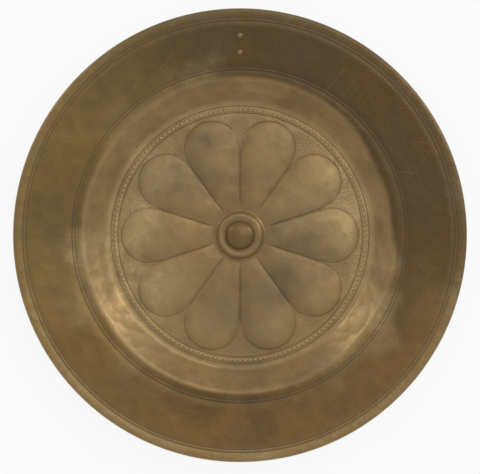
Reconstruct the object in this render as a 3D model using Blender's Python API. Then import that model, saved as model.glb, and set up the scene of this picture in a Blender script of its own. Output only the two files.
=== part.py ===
"""Alms plate: a raised brass dish with a lobed rosette, a wired edge, a riveted boss and a hanging ring.

Metres, +Z up. The origin is at the middle of the plate, on the surface that the plate stands on.
The top of the photographed view is +Y, and the hanging ring is behind the rim on that side.
"""

import math

import bmesh
import bpy
from mathutils import Matrix, Vector

# Sheet and fits
SHEET = 0.0010
CLEARANCE = 0.0003

# Dish: sizes are those of the sheet's back
PLATE_RADIUS = 0.2000
RIM_WIDTH = 0.0590
RIM_SLOPE = math.radians(7.0)
WELL_DEPTH = 0.0190
WALL_ANGLE = math.radians(45.0)
FOOT_FILLET = 0.0070
SHOULDER_FILLET = 0.0060
REST_RING_WIDTH = 0.0090
GROUND_RISE = 0.0006

# Rolled edge
WIRE_RADIUS = 0.0017
CURL_WRAP = math.radians(285.0)

# Rosette beaten up from the back: a lobe starts low and narrow by the boss and ends full and round
LOBE_COUNT = 10
LOBE_HEIGHT = 0.0036
LOBE_GAP = 0.0015
LOBE_START_SHARE = 0.5
LOBE_INNER_ROUND = 0.2
LOBE_OUTER_ROUND = 0.25
LOBE_FULLNESS = 0.6

# Boss, and the raised seat that it is riveted to
BOSS_RADIUS = 0.0130
BOSS_HEIGHT = 0.0085
BOSS_SKIRT = 0.0011
BOSS_SHANK_RADIUS = 0.0025
BOSS_TAIL_RADIUS = 0.0042
BOSS_TAIL_HEIGHT = 0.0012
TAIL_LIFT = 0.0020
ROVE_RADIUS = 0.0080
ROVE_THICKNESS = 0.0010
SEAT_MARGIN = 0.0020
BEAD_WIDTH = 0.0080
BEAD_HEIGHT = 0.0018

# Hanger behind the rim
RING_RADIUS = 0.0085
RING_WIRE_RADIUS = 0.0013
STRAP_WIDTH = 0.0060
STRAP_THICKNESS = 0.0012
STRAP_BEND = 0.0005
WING_LENGTH = 0.0075
RIVET_SHANK_RADIUS = 0.0012
RIVET_HEAD_RADIUS = 0.0024
RIVET_HEAD_HEIGHT = 0.0009

# Facets
TURN_FACETS = 8 * LOBE_COUNT
LOBE_ROWS = 9
FILLET_FACETS = 4
CURL_FACETS = 9
BOSS_FACETS = 24
DOME_FACETS = 6
RIVET_FACETS = 12
RIVET_DOME_FACETS = 3
RING_FACETS = 32
WIRE_FACETS = 8
BORE_FACETS = 8
WELD_DISTANCE = CLEARANCE / 100

# The wall: a foot fillet, a straight slope and a shoulder fillet, from the floor up to the rim
FILLETS_RISE = FOOT_FILLET * (1 - math.cos(WALL_ANGLE)) + SHOULDER_FILLET * (
    math.cos(RIM_SLOPE) - math.cos(WALL_ANGLE)
)
FILLETS_RUN = FOOT_FILLET * math.sin(WALL_ANGLE) + SHOULDER_FILLET * (
    math.sin(WALL_ANGLE) - math.sin(RIM_SLOPE)
)
SLOPE_RUN = (WELL_DEPTH - FILLETS_RISE) / math.tan(WALL_ANGLE)
SHOULDER_RADIUS = PLATE_RADIUS - RIM_WIDTH
FLOOR_RADIUS = SHOULDER_RADIUS - FILLETS_RUN - SLOPE_RUN

# The wire's seat in the rolled edge
WIRE_SEAT = WIRE_RADIUS + CLEARANCE
WIRE_TURN_RADIUS = PLATE_RADIUS - SHEET - WIRE_SEAT
RIM_END_RADIUS = WIRE_TURN_RADIUS - WIRE_SEAT * math.sin(RIM_SLOPE)
RIM_END_Z = WELL_DEPTH + (RIM_END_RADIUS - SHOULDER_RADIUS) * math.tan(RIM_SLOPE)
WIRE_Z = RIM_END_Z - WIRE_SEAT * math.cos(RIM_SLOPE)

# The boss's seat is high enough for the rove and the peened tail to stay off the table
SEAT_RISE = TAIL_LIFT + BOSS_TAIL_HEIGHT + CLEARANCE + ROVE_THICKNESS + CLEARANCE
SEAT_RADIUS = BOSS_RADIUS + SEAT_MARGIN
BEAD_RADIUS = SEAT_RADIUS + BEAD_WIDTH

# The rosette fills the floor between the bead around the seat and the ring that the plate rests on
ROSETTE_RADIUS = FLOOR_RADIUS - REST_RING_WIDTH
LOBE_TIP_RADIUS = ROSETTE_RADIUS - LOBE_GAP
LOBE_LENGTH = LOBE_TIP_RADIUS - BEAD_RADIUS
LOBE_PITCH = 2 * math.pi / LOBE_COUNT
LOBE_END_RADIUS = LOBE_TIP_RADIUS * math.sin(LOBE_PITCH / 2)

# The hanger sits in the middle of the rim's back, and the ring pivots just below it
HANGER_RADIUS = (SHOULDER_RADIUS + RIM_END_RADIUS) / 2
HANGER_Z = (WELL_DEPTH + RIM_END_Z) / 2
RING_SAG = RING_RADIUS - math.sqrt(RING_RADIUS**2 - (STRAP_WIDTH / 2) ** 2)
STRAP_BORE = RING_WIRE_RADIUS + RING_SAG / 2 + CLEARANCE
STRAP_TURN = STRAP_BEND + STRAP_THICKNESS
PIVOT_DROP = CLEARANCE + STRAP_TURN + CLEARANCE
WING_START = STRAP_BORE + STRAP_TURN
RIVET_OFFSET = WING_START + WING_LENGTH / 2


def smooth_step(value):
    """0 below 0, 1 above 1, and an S curve between."""
    t = min(max(value, 0.0), 1.0)
    return t * t * (3 - 2 * t)


def arc(centre, radius, start, end, facets):
    """Points of an arc in a plane, both ends included, from one angle to another."""
    angles = [start + (end - start) * i / facets for i in range(facets + 1)]
    return [(centre[0] + radius * math.cos(a), centre[1] + radius * math.sin(a)) for a in angles]


def dome(radius, height, base, facets):
    """(radius, height) points over a dome from its foot to its top. A negative height hangs it down."""
    quarter = arc((0.0, 0.0), radius, 0.0, math.pi / 2, facets)
    return [(r, base + height * z / radius) for r, z in quarter]


def material(name, colour, roughness):
    """A metal: a Principled BSDF of one colour."""
    made = bpy.data.materials.new(name)
    made.use_nodes = True
    shader = made.node_tree.nodes["Principled BSDF"]
    shader.inputs["Base Color"].default_value = (*colour, 1.0)
    shader.inputs["Roughness"].default_value = roughness
    shader.inputs["Metallic"].default_value = 1.0
    return made


def add_object(name, bm, finish=None):
    """An object made from a bmesh, shaded smooth apart from its sharp edges."""
    mesh = bpy.data.meshes.new(name)
    bm.to_mesh(mesh)
    bm.free()
    mesh.shade_smooth()
    mesh.set_sharp_from_angle(angle=math.radians(35))
    if finish:
        mesh.materials.append(finish)
    made = bpy.data.objects.new(name, mesh)
    bpy.context.scene.collection.objects.link(made)
    return made


def add_empty(name, location, tilt=0.0):
    """An empty that carries other objects, tilted about the X axis."""
    made = bpy.data.objects.new(name, None)
    bpy.context.scene.collection.objects.link(made)
    made.location = location
    made.rotation_euler.x = tilt
    return made


def spun(points, facets):
    """A bmesh of (radius, height) points turned right round the Z axis."""
    bm = bmesh.new()
    verts = [bm.verts.new((r, 0.0, z)) for r, z in points]
    edges = [bm.edges.new(pair) for pair in zip(verts, verts[1:])]
    bmesh.ops.spin(
        bm,
        geom=verts + edges,
        cent=(0.0, 0.0, 0.0),
        axis=(0.0, 0.0, 1.0),
        angle=2 * math.pi,
        steps=facets,
        use_merge=True,
    )
    bmesh.ops.remove_doubles(bm, verts=bm.verts, dist=WELD_DISTANCE)
    bmesh.ops.recalc_face_normals(bm, faces=bm.faces)
    return bm


def torus(name, radius, wire_radius, facets, finish):
    """A closed ring of round wire about the Z axis."""
    section = arc((radius, 0.0), wire_radius, 0.0, 2 * math.pi, WIRE_FACETS)
    return add_object(name, spun(section, facets), finish)


def thicken(sheet, thickness):
    """Gives an open sheet its thickness, on the side that its faces point to."""
    solid = sheet.modifiers.new("thickness", "SOLIDIFY")
    solid.thickness = thickness
    solid.offset = 1.0
    solid.use_even_offset = True


def cut(target, cutter):
    """Takes the cutter's shape out of the target, and keeps the cutter as a hidden guide."""
    cutter.hide_render = True
    cutter.display_type = "WIRE"
    difference = target.modifiers.new("cut_" + cutter.name, "BOOLEAN")
    difference.operation = "DIFFERENCE"
    difference.solver = "EXACT"
    difference.object = cutter


def lobe_end(across):
    """Radius of the lobes' scalloped outer edge, from the valley at -1 over the crest at 0 to the valley at 1."""
    return LOBE_TIP_RADIUS - LOBE_END_RADIUS * (1 - math.sqrt(1 - across**2))


def lobe_height(along, across):
    """Height of a lobe above its ground. along runs from 0 at the boss's bead to 1 at the lobe's outer edge."""
    crown = (1 - across**2) ** LOBE_FULLNESS
    swell = LOBE_START_SHARE + (1 - LOBE_START_SHARE) * along
    start = math.sin(min(along / LOBE_INNER_ROUND, 1.0) * math.pi / 2)
    end = math.sqrt(1 - max(1 - (1 - along) / LOBE_OUTER_ROUND, 0.0) ** 2)
    return LOBE_HEIGHT * crown * swell * start * end


def seat_height(along):
    """The back of the floor from the boss's flat seat at 0, over the bead around it, to the ground at 1."""
    fall = SEAT_RISE + (GROUND_RISE - SEAT_RISE) * smooth_step(along)
    return fall + BEAD_HEIGHT * math.sin(math.pi * along) ** 2


def dish_profile():
    """(radius, height) points of the sheet's back, from the boss's hole out to the end of the rolled edge."""
    points = [(BOSS_SHANK_RADIUS + CLEARANCE, SEAT_RISE)]
    for i in range(FILLET_FACETS + 1):
        along = i / FILLET_FACETS
        points.append((SEAT_RADIUS + BEAD_WIDTH * along, seat_height(along)))
    for i in range(1, LOBE_ROWS + 1):
        along = math.sin(math.pi / 2 * i / LOBE_ROWS)
        points.append((BEAD_RADIUS + LOBE_LENGTH * along, GROUND_RISE))
    points.append((ROSETTE_RADIUS, 0.0))
    down = -math.pi / 2
    points += arc((FLOOR_RADIUS, FOOT_FILLET), FOOT_FILLET, down, down + WALL_ANGLE, FILLET_FACETS)
    shoulder = (
        SHOULDER_RADIUS + SHOULDER_FILLET * math.sin(RIM_SLOPE),
        WELL_DEPTH - SHOULDER_FILLET * math.cos(RIM_SLOPE),
    )
    up = math.pi / 2
    points += arc(shoulder, SHOULDER_FILLET, up + WALL_ANGLE, up + RIM_SLOPE, FILLET_FACETS)
    wire = (WIRE_TURN_RADIUS, WIRE_Z)
    points += arc(wire, WIRE_SEAT, up + RIM_SLOPE, up + RIM_SLOPE - CURL_WRAP, CURL_FACETS)
    return points


def beat_rosette(bm):
    """Draws the floor's rows of points out to the scalloped edge, and raises the lobes. One lobe lies along +X."""
    for vert in bm.verts:
        radius = vert.co.xy.length
        if BEAD_RADIUS < radius < ROSETTE_RADIUS - LOBE_GAP / 2:
            along = min((radius - BEAD_RADIUS) / LOBE_LENGTH, 1.0)
            turn = math.atan2(vert.co.y, vert.co.x) / LOBE_PITCH + 0.5
            across = 2 * (turn % 1.0) - 1
            drawn = BEAD_RADIUS + (lobe_end(across) - BEAD_RADIUS) * along
            vert.co.xy = vert.co.xy * drawn / radius
            vert.co.z += lobe_height(along, across)


def make_dish(finish):
    """The raised sheet: its back turned from a profile, the rosette beaten up, then the sheet's thickness."""
    bm = spun(dish_profile(), TURN_FACETS)
    beat_rosette(bm)
    seat = min(bm.faces, key=lambda face: face.calc_center_median().xy.length)
    if seat.normal.z < 0:
        bmesh.ops.reverse_faces(bm, faces=bm.faces)
    dish = add_object("dish", bm, finish)
    thicken(dish, SHEET)
    return dish


def make_edge_wire(finish):
    """The wire inside the rolled edge."""
    wire = torus("edge_wire", WIRE_TURN_RADIUS, WIRE_RADIUS, TURN_FACETS, finish)
    wire.location.z = WIRE_Z


def make_boss(finish):
    """A domed boss and its shank in one piece, with the tail peened out under the rove."""
    seat_top = SEAT_RISE + SHEET + CLEARANCE
    tail_top = TAIL_LIFT + BOSS_TAIL_HEIGHT
    profile = dome(BOSS_TAIL_RADIUS, -BOSS_TAIL_HEIGHT, tail_top, RIVET_DOME_FACETS)[::-1]
    profile += [(BOSS_SHANK_RADIUS, tail_top), (BOSS_SHANK_RADIUS, seat_top), (BOSS_RADIUS, seat_top)]
    profile += dome(BOSS_RADIUS, BOSS_HEIGHT - BOSS_SKIRT, seat_top + BOSS_SKIRT, DOME_FACETS)
    add_object("centre_boss", spun(profile, BOSS_FACETS), finish)


def make_rove(finish):
    """The washer that the boss's tail is peened over, in the hollow under the seat."""
    top = SEAT_RISE - CLEARANCE
    bottom = top - ROVE_THICKNESS
    bore = BOSS_SHANK_RADIUS + CLEARANCE
    profile = [(bore, bottom), (ROVE_RADIUS, bottom), (ROVE_RADIUS, top), (bore, top), (bore, bottom)]
    add_object("boss_rove", spun(profile, BOSS_FACETS), finish)


def strap_path():
    """The strap's side that faces the rim, seen along the pivot: wing, bend, bore, bend, wing."""
    top = -CLEARANCE
    wing = [(-WING_START - WING_LENGTH, top)]
    wing += arc((-WING_START, top - STRAP_TURN), STRAP_TURN, math.pi / 2, 0.0, FILLET_FACETS)
    bore = arc((0.0, -PIVOT_DROP), STRAP_BORE, -math.pi, 0.0, BORE_FACETS)
    other_wing = [(-y, z) for y, z in reversed(wing)]
    return wing + bore + other_wing


def make_strap(finish):
    """A strip bent into a saddle: its path drawn across its width, then its thickness away from the rim."""
    bm = bmesh.new()
    verts = [bm.verts.new((-STRAP_WIDTH / 2, y, z)) for y, z in strap_path()]
    edges = [bm.edges.new(pair) for pair in zip(verts, verts[1:])]
    grown = bmesh.ops.extrude_edge_only(bm, edges=edges)["geom"]
    moved = [item for item in grown if isinstance(item, bmesh.types.BMVert)]
    bmesh.ops.translate(bm, verts=moved, vec=(STRAP_WIDTH, 0.0, 0.0))
    bmesh.ops.recalc_face_normals(bm, faces=bm.faces)
    wing = min(bm.faces, key=lambda face: face.calc_center_median().y)
    if wing.normal.z > 0:
        bmesh.ops.reverse_faces(bm, faces=bm.faces)
    strap = add_object("hanger_strap", bm, finish)
    thicken(strap, STRAP_THICKNESS)
    return strap


def make_rivet(name, finish):
    """A rivet with one low head on the rim's front and one on the strap's back, about its own Z axis."""
    front = SHEET + CLEARANCE
    back = -CLEARANCE - STRAP_THICKNESS - CLEARANCE
    head = dome(RIVET_HEAD_RADIUS, RIVET_HEAD_HEIGHT, front, RIVET_DOME_FACETS)
    tail = dome(RIVET_HEAD_RADIUS, -RIVET_HEAD_HEIGHT, back, RIVET_DOME_FACETS)
    shank = [(RIVET_SHANK_RADIUS, back), (RIVET_SHANK_RADIUS, front)]
    return add_object(name, spun(tail[::-1] + shank + head, RIVET_FACETS), finish)


def make_hole_cutter(name):
    """A plug for a rivet's hole through the rim and the strap."""
    reach = SHEET + CLEARANCE + STRAP_THICKNESS + CLEARANCE
    radius = RIVET_SHANK_RADIUS + CLEARANCE
    profile = [(0.0, -reach), (radius, -reach), (radius, reach), (0.0, reach)]
    return add_object(name, spun(profile, RIVET_FACETS))


def make_hanger(dish, strap_finish, rivet_finish):
    """The strap and its two rivets, on the slope of the rim's back."""
    seat = add_empty("hanger_seat", (0.0, HANGER_RADIUS, HANGER_Z), RIM_SLOPE)
    strap = make_strap(strap_finish)
    strap.parent = seat
    for side, offset in (("inner", -RIVET_OFFSET), ("outer", RIVET_OFFSET)):
        rivet = make_rivet("hanger_rivet_" + side, rivet_finish)
        hole = make_hole_cutter("rivet_hole_" + side)
        for piece in (rivet, hole):
            piece.parent = seat
            piece.location.y = offset
        cut(dish, hole)
        cut(strap, hole)


def make_ring(finish):
    """The ring, hanging straight down from its pivot in the strap's bore. It turns about the pivot's X axis."""
    drop = Matrix.Rotation(RIM_SLOPE, 3, "X") @ Vector((0.0, 0.0, -PIVOT_DROP))
    pivot = add_empty("ring_pivot", Vector((0.0, HANGER_RADIUS, HANGER_Z)) + drop)
    ring = torus("hanger_ring", RING_RADIUS, RING_WIRE_RADIUS, RING_FACETS, finish)
    ring.parent = pivot
    ring.rotation_euler.x = math.pi / 2
    ring.location.z = RING_SAG / 2 - RING_RADIUS
    print("ring pivot", [round(value, 6) for value in pivot.location])


def main():
    for leftover in list(bpy.data.objects):
        bpy.data.objects.remove(leftover)
    dish = make_dish(material("dish_brass", (0.23, 0.155, 0.073), 0.38))
    make_edge_wire(material("wire_iron", (0.06, 0.05, 0.045), 0.6))
    make_boss(material("boss_brass", (0.162, 0.1, 0.041), 0.3))
    make_rove(material("rove_brass", (0.18, 0.115, 0.05), 0.5))
    strap_brass = material("strap_brass", (0.2, 0.128, 0.056), 0.45)
    rivet_brass = material("rivet_brass", (0.19, 0.12, 0.052), 0.42)
    make_hanger(dish, strap_brass, rivet_brass)
    make_ring(material("ring_brass", (0.21, 0.135, 0.06), 0.36))
    print("rest ring from", round(ROSETTE_RADIUS, 6), "to", round(FLOOR_RADIUS, 6))


main()
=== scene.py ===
# %% [markdown]
# # An old brass alms plate
#
# The plate is one sheet of brass: a broad plain rim, a sloping wall, and a floor with a rosette of ten
# lobes beaten up from behind. A domed boss is riveted into the middle, the edge is rolled round an iron
# wire, and a ring to hang the plate by swings in a small saddle behind the rim.
#
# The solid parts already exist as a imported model. This script loads them as a fixed frame and then makes
# the finished surfaces at the same places: finer meshes, old metal, a floor, light and a camera.

import math
from collections import namedtuple

import bmesh
import bpy
from mathutils import Matrix, Vector


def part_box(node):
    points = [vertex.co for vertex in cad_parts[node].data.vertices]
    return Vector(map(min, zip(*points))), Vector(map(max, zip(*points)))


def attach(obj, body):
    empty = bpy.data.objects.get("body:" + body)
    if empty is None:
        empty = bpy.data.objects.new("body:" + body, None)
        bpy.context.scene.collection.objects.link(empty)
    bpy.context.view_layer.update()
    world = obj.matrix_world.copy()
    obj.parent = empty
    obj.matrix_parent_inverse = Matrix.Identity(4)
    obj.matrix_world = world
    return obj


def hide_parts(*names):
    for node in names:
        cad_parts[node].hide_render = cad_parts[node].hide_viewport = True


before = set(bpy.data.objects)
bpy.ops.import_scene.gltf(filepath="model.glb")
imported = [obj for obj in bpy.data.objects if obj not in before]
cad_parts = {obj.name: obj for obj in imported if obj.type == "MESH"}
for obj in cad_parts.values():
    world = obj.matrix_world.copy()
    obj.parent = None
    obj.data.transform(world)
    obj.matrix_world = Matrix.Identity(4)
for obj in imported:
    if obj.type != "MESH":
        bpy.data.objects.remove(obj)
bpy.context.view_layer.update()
scene = bpy.context.scene
print("frame:", sorted(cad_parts))

# %% [markdown]
# ## Sizes
#
# A size that can be measured on the frame is measured there, so that the finished pieces follow the
# solids. What a bounding box can't say, such as the sheet's thickness or the slope of the wall, is
# repeated here. All lengths are in metres.

# %% Sizes of the sheet and the wall
SHEET = 0.0010
CLEARANCE = 0.0003
RIM_WIDTH = 0.0590
RIM_SLOPE = math.radians(7.0)
WELL_DEPTH = 0.0190
WALL_ANGLE = math.radians(45.0)
FOOT_FILLET = 0.0070
SHOULDER_FILLET = 0.0060
REST_RING_WIDTH = 0.0090
GROUND_RISE = 0.0006
SEAT_MARGIN = 0.0020
BEAD_WIDTH = 0.0080
CURL_WRAP = math.radians(285.0)

FILLETS_RISE = FOOT_FILLET * (1 - math.cos(WALL_ANGLE)) + SHOULDER_FILLET * (
    math.cos(RIM_SLOPE) - math.cos(WALL_ANGLE)
)
FILLETS_RUN = FOOT_FILLET * math.sin(WALL_ANGLE) + SHOULDER_FILLET * (
    math.sin(WALL_ANGLE) - math.sin(RIM_SLOPE)
)
SLOPE_RUN = (WELL_DEPTH - FILLETS_RISE) / math.tan(WALL_ANGLE)
print("the wall runs out", round(FILLETS_RUN + SLOPE_RUN, 4), "and up", WELL_DEPTH)

# %% Sizes measured on the frame


def box_of(node):
    """The middle of a node's box and the lengths of its half sides."""
    low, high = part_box(node)
    return (low + high) / 2, (high - low) / 2


wire_middle, wire_half = box_of("edge_wire")
WIRE_RADIUS = wire_half.z
WIRE_TURN_RADIUS = wire_half.x - WIRE_RADIUS
WIRE_Z = wire_middle.z
WIRE_SEAT = WIRE_RADIUS + CLEARANCE
PLATE_RADIUS = WIRE_TURN_RADIUS + WIRE_SEAT + SHEET
RIM_END_RADIUS = WIRE_TURN_RADIUS - WIRE_SEAT * math.sin(RIM_SLOPE)
SHOULDER_RADIUS = PLATE_RADIUS - RIM_WIDTH
FLOOR_RADIUS = SHOULDER_RADIUS - FILLETS_RUN - SLOPE_RUN
boss_middle, boss_half = box_of("centre_boss")
BOSS_RADIUS = boss_half.x
SEAT_RADIUS = BOSS_RADIUS + SEAT_MARGIN
BEAD_RADIUS = SEAT_RADIUS + BEAD_WIDTH
print("plate radius", round(PLATE_RADIUS, 4), "floor radius", round(FLOOR_RADIUS, 4))

# %% [markdown]
# ## A few helpers for node trees
#
# Both the shapes and the metals below are node trees. Adding nodes one by one hides the sum behind them,
# so a small class lets sockets take part in ordinary Python sums: every `+` or `*` becomes one Math node.

# %% Sums of sockets


class Field:
    """A socket of a tree that takes part in sums. Each sum is one Math node."""

    def __init__(self, tree, socket):
        self.tree = tree
        self.socket = socket

    def math(self, operation, *others):
        node = self.tree.nodes.new("ShaderNodeMath")
        node.operation = operation
        for socket, value in zip(node.inputs, (self, *others)):
            plug(self.tree, socket, value)
        return Field(self.tree, node.outputs[0])

    def __add__(self, other):
        return self.math("ADD", other)

    def __sub__(self, other):
        return self.math("SUBTRACT", other)

    def __mul__(self, other):
        return self.math("MULTIPLY", other)

    def __truediv__(self, other):
        return self.math("DIVIDE", other)

    def __pow__(self, other):
        return self.math("POWER", other)

    def __rsub__(self, other):
        return self * -1.0 + other

    __radd__ = __add__
    __rmul__ = __mul__

    def ramp(self, low, high):
        """0 at low, 1 at high and an S curve between."""
        node = self.tree.nodes.new("ShaderNodeMapRange")
        node.interpolation_type = "SMOOTHSTEP"
        for name, value in (("Value", self), ("From Min", low), ("From Max", high)):
            plug(self.tree, node.inputs[name], value)
        return Field(self.tree, node.outputs[0])


print("sums of fields become Math nodes")

# %% Nodes and groups


def plug(tree, socket, value):
    """Links a field or a socket to a socket, or sets a plain value on it."""
    if isinstance(value, Field):
        tree.links.new(value.socket, socket)
    elif isinstance(value, bpy.types.NodeSocket):
        tree.links.new(value, socket)
    else:
        socket.default_value = value


def add_node(tree, kind, inputs=None, **settings):
    """A node with its settings, and with its inputs linked or set by name."""
    node = tree.nodes.new(kind)
    for name, value in settings.items():
        setattr(node, name, value)
    for name, value in (inputs or {}).items():
        plug(tree, node.inputs[name], value)
    return node


def field(tree, kind, inputs=None, output=0, **settings):
    """The output of a new node, ready for sums and links."""
    return Field(tree, add_node(tree, kind, inputs, **settings).outputs[output])


def split(tree, vector):
    """The X, Y and Z of a vector."""
    node = add_node(tree, "ShaderNodeSeparateXYZ", {"Vector": vector})
    return [Field(tree, node.outputs[axis]) for axis in "XYZ"]


def combine(tree, x=0.0, y=0.0, z=0.0):
    """A vector of three values."""
    return field(tree, "ShaderNodeCombineXYZ", {"X": x, "Y": y, "Z": z})


def new_group(name, kind, inputs, outputs):
    """An empty node group with named sockets, its inputs as a dictionary of fields, and its output node."""
    tree = bpy.data.node_groups.new(name, kind)
    for direction, sockets in (("INPUT", inputs), ("OUTPUT", outputs)):
        for label, socket_type in sockets.items():
            tree.interface.new_socket(label, in_out=direction, socket_type="NodeSocket" + socket_type)
    entry = tree.nodes.new("NodeGroupInput")
    fields = {label: Field(tree, entry.outputs[label]) for label in inputs}
    return tree, fields, tree.nodes.new("NodeGroupOutput")


print("helpers for nodes and groups are ready")

# %% [markdown]
# ## Running a Geometry Nodes tree
#
# A tree needs an object to run on. Here that object is a string of loose points, the rows of a turned
# profile. Each row also says what it is: how far along a lobe it lies, how dirty it is, how much the
# hammer left it uneven, and whether it is on the back. The result is turned into a plain mesh at once,
# because a finished piece carries no live modifier. An input is set by its identifier, which is what the
# modifier knows it by.

# %% Rows of a profile
Row = namedtuple("Row", "radius height along dirt waver back", defaults=(-1.0, 0.0, 0.0, 0.0))
ROW_VALUES = Row._fields[2:]


def add_object(name, mesh):
    """A mesh object at the origin."""
    made = bpy.data.objects.new(name, mesh)
    scene.collection.objects.link(made)
    return made


def add_rows(name, rows):
    """An object whose loose points are the rows, with the rows' values stored on them."""
    mesh = bpy.data.meshes.new(name)
    mesh.from_pydata([(row.radius, 0.0, row.height) for row in rows], [], [])
    for label in ROW_VALUES:
        values = mesh.attributes.new(label, "FLOAT", "POINT")
        values.data.foreach_set("value", [getattr(row, label) for row in rows])
    return add_object(name, mesh)


def spread(first, last, steps):
    """Evenly spaced values, both ends included."""
    return [first + (last - first) * i / steps for i in range(steps + 1)]


def arc(centre, radius, start, end, steps):
    """Points of an arc in a plane, both ends included, from one angle to another."""
    turns = spread(start, end, steps)
    return [(centre[0] + radius * math.cos(turn), centre[1] + radius * math.sin(turn)) for turn in turns]


print("a profile is a list of rows:", Row._fields)

# %% From rows to a plain mesh
SHARP_ANGLE = math.radians(40)
NEVER_SHARP = math.pi


def settle(obj, sharp_angle=SHARP_ANGLE):
    """Turns an object with modifiers into a plain mesh, smooth but for its sharp edges.

    A tree leaves an empty material slot in front of its own, which is dropped.
    """
    evaluated = obj.evaluated_get(bpy.context.evaluated_depsgraph_get())
    result = bpy.data.meshes.new_from_object(evaluated)
    obj.modifiers.clear()
    obj.data = result
    result.name = obj.name
    if result.materials[0] is None:
        result.materials.pop(index=0)
    result.shade_smooth()
    result.set_sharp_from_angle(angle=sharp_angle)
    result.calc_loop_triangles()
    print(obj.name, "has", len(result.loop_triangles), "triangles")
    return obj


def grow(name, tree, rows, inputs, sharp_angle=SHARP_ANGLE):
    """The piece that a tree makes of a profile's rows."""
    made = add_rows(name, rows)
    modifier = made.modifiers.new(tree.name, "NODES")
    modifier.node_group = tree
    for item in tree.interface.items_tree:
        if item.in_out == "INPUT" and item.name in inputs:
            modifier[item.identifier] = inputs[item.name]
    return settle(made, sharp_angle)


def join_plate(piece, slot, *nodes):
    """Lets a piece ride on the plate in place of some of its nodes. The slot is not used."""
    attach(piece, "plate")
    if nodes:
        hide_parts(*nodes)


print("edges over", round(math.degrees(SHARP_ANGLE)), "degrees stay sharp")

# %% [markdown]
# ## Turning a profile
#
# The dish, the boss, the wire and the rivets are all turned: a profile carried round an axis. A Screw
# modifier could do that, but the dish also needs its lobes, which depend on the angle. So the tree lays a
# flat grid with one row for each profile point and one column for each step of the turn, and moves every
# grid point to its place on the turned surface. The first and last columns meet there, and are merged.

# %% Lay the grid
GRID_INPUTS = {"Geometry": "Geometry", "Facets": "Int", "Finish": "Material"}
GEOMETRY_OUT = {"Geometry": "Geometry"}


def named_value(tree, name):
    """A value that is stored on the points of a tree's geometry."""
    return field(tree, "GeometryNodeInputNamedAttribute", {"Name": name}, "Attribute", data_type="FLOAT")


def turned_grid(tree, given):
    """A grid for the rows of the tree's geometry, and its points' turn, radius, height and row values."""
    count = field(tree, "GeometryNodeAttributeDomainSize", {"Geometry": given["Geometry"]}, "Point Count")
    steps = given["Facets"] + 1.0
    sides = {"Size X": 1.0, "Size Y": 1.0, "Vertices X": count, "Vertices Y": steps}
    grid = field(tree, "GeometryNodeMeshGrid", sides, "Mesh")
    position = field(tree, "GeometryNodeInputPosition")
    x, y, _ = split(tree, position)
    index = ((x + 0.5) * (count - 1.0)).math("ROUND")
    turn = y + 0.5

    def of_row(kind, value):
        wanted = {"Geometry": given["Geometry"], "Value": value, "Index": index}
        return field(tree, "GeometryNodeSampleIndex", wanted, "Value", data_type=kind)

    radius, _, height = split(tree, of_row("FLOAT_VECTOR", position))
    values = {label: of_row("FLOAT", named_value(tree, label)) for label in ROW_VALUES}
    return grid, turn, radius, height, values


print("one grid row for each profile point, with", ROW_VALUES)

# %% Move the grid, store values and merge
SEAM = 1e-6


def turned_place(tree, turn, radius, height):
    """Where a point of the grid goes on the turned surface."""
    angle = turn * (2 * math.pi)
    x = radius * angle.math("COSINE")
    y = radius * angle.math("SINE")
    return combine(tree, x, y, height)


def keep_values(tree, geometry, **values):
    """Stores values on the points, for the metals to read."""
    for name, value in values.items():
        stored = {"Geometry": geometry, "Name": name, "Value": value}
        geometry = field(tree, "GeometryNodeStoreNamedAttribute", stored, data_type="FLOAT")
    return geometry


def move_and_merge(tree, geometry, place):
    """Moves the grid's points to their places, and merges the seam and the poles."""
    moved = field(tree, "GeometryNodeSetPosition", {"Geometry": geometry, "Position": place})
    return field(tree, "GeometryNodeMergeByDistance", {"Geometry": moved, "Distance": SEAM})


def realize_and_paint(tree, geometry, finish):
    """Makes real meshes of instances, and gives the piece its metal."""
    real = field(tree, "GeometryNodeRealizeInstances", {"Geometry": geometry})
    return field(tree, "GeometryNodeSetMaterial", {"Geometry": real, "Material": finish})


print("points nearer than", SEAM, "m are merged")

# %% The tree of plain turned pieces


def turned_solid(tree, given):
    """The closed surface that the tree's rows make when they are turned."""
    grid, turn, radius, height, values = turned_grid(tree, given)
    kept = keep_values(tree, grid, dirt=values["dirt"])
    return move_and_merge(tree, kept, turned_place(tree, turn, radius, height))


def make_turned_tree():
    tree, given, leave = new_group("turned_piece", "GeometryNodeTree", GRID_INPUTS, GEOMETRY_OUT)
    solid = turned_solid(tree, given)
    plug(tree, leave.inputs["Geometry"], realize_and_paint(tree, solid, given["Finish"]))
    return tree


turned_tree = make_turned_tree()
print("tree", turned_tree.name, "has", len(turned_tree.nodes), "nodes")

# %% [markdown]
# ## The rosette
#
# The lobes were beaten up from behind. Each is low and narrow by the boss and ends full and round, and
# one lies along +X. They could be sculpted, or pushed up with a displacement picture, but they follow a
# rule, so the tree works them out from two values. `across` runs from -1 in one valley to 1 in the next.
# `along` runs from 0 at the bead around the boss to 1 at the scalloped edge, and on to 2 at the end of
# the ground outside it. The rows are drawn in towards the valleys, so the scallops are clean lines of the
# mesh and not a staircase. The sheet was raised by hand, so a slow noise makes it a little uneven.

# %% Sizes and relief of the lobes
LOBE_COUNT = 10
LOBE_HEIGHT = 0.0036
LOBE_GAP = 0.0015
LOBE_START_SHARE = 0.5
LOBE_INNER_ROUND = 0.2
LOBE_OUTER_ROUND = 0.25
LOBE_FULLNESS = 0.6
ROSETTE_RADIUS = FLOOR_RADIUS - REST_RING_WIDTH
LOBE_TIP_RADIUS = ROSETTE_RADIUS - LOBE_GAP
LOBE_END_RADIUS = LOBE_TIP_RADIUS * math.sin(math.pi / LOBE_COUNT)


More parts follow.
